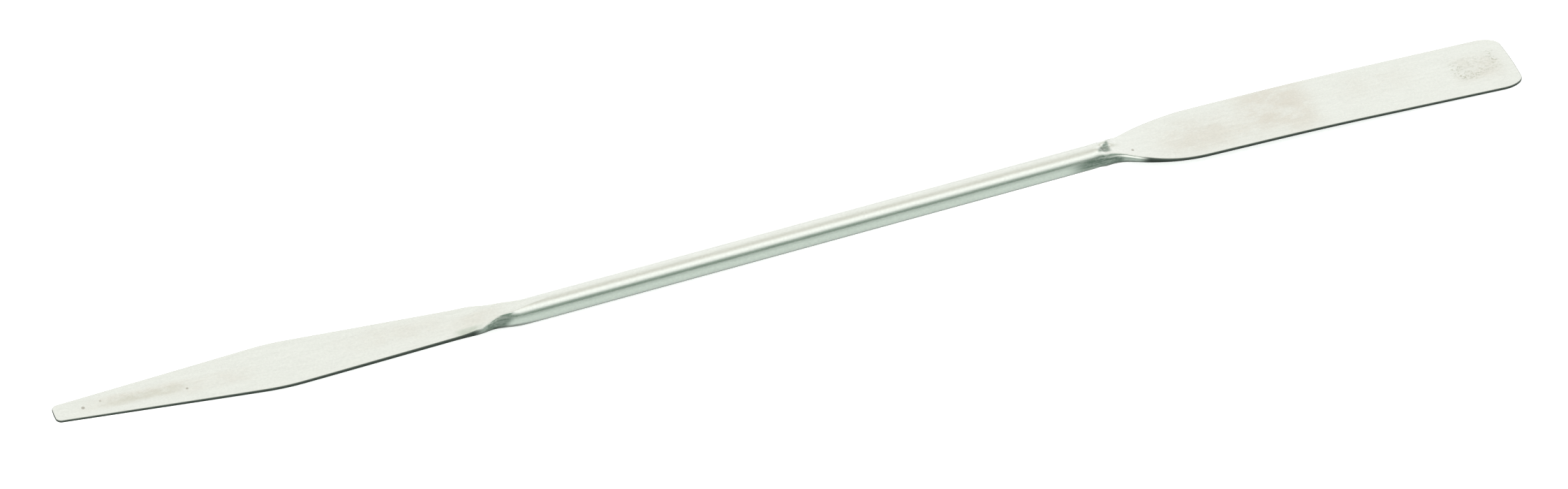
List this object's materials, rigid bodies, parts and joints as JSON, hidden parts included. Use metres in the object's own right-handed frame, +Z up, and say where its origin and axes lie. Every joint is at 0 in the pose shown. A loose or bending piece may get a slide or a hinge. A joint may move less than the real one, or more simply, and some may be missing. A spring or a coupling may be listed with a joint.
{
  "type": "lab spatula",
  "caption": "Double-ended steel laboratory micro-spatula: a round bar pressed into a tapered blade at one end and a square blade at the other.",
  "frame": {"origin": "centre of the tool's footprint on the surface that it lies on, as it comes to rest", "axes": "+X runs along the tool from the tapered tip to the square tip, +Y across the blades, +Z up from the surface"},
  "size_m": [0.18, 0.0086, 0.0047],
  "materials": {
    "steel": "satin stainless steel with fine lengthwise grain, faint tan mottling on the blades and a few pits"
  },
  "bodies": {
    "root": {"spatula": "steel"}
  },
  "joints": []
}
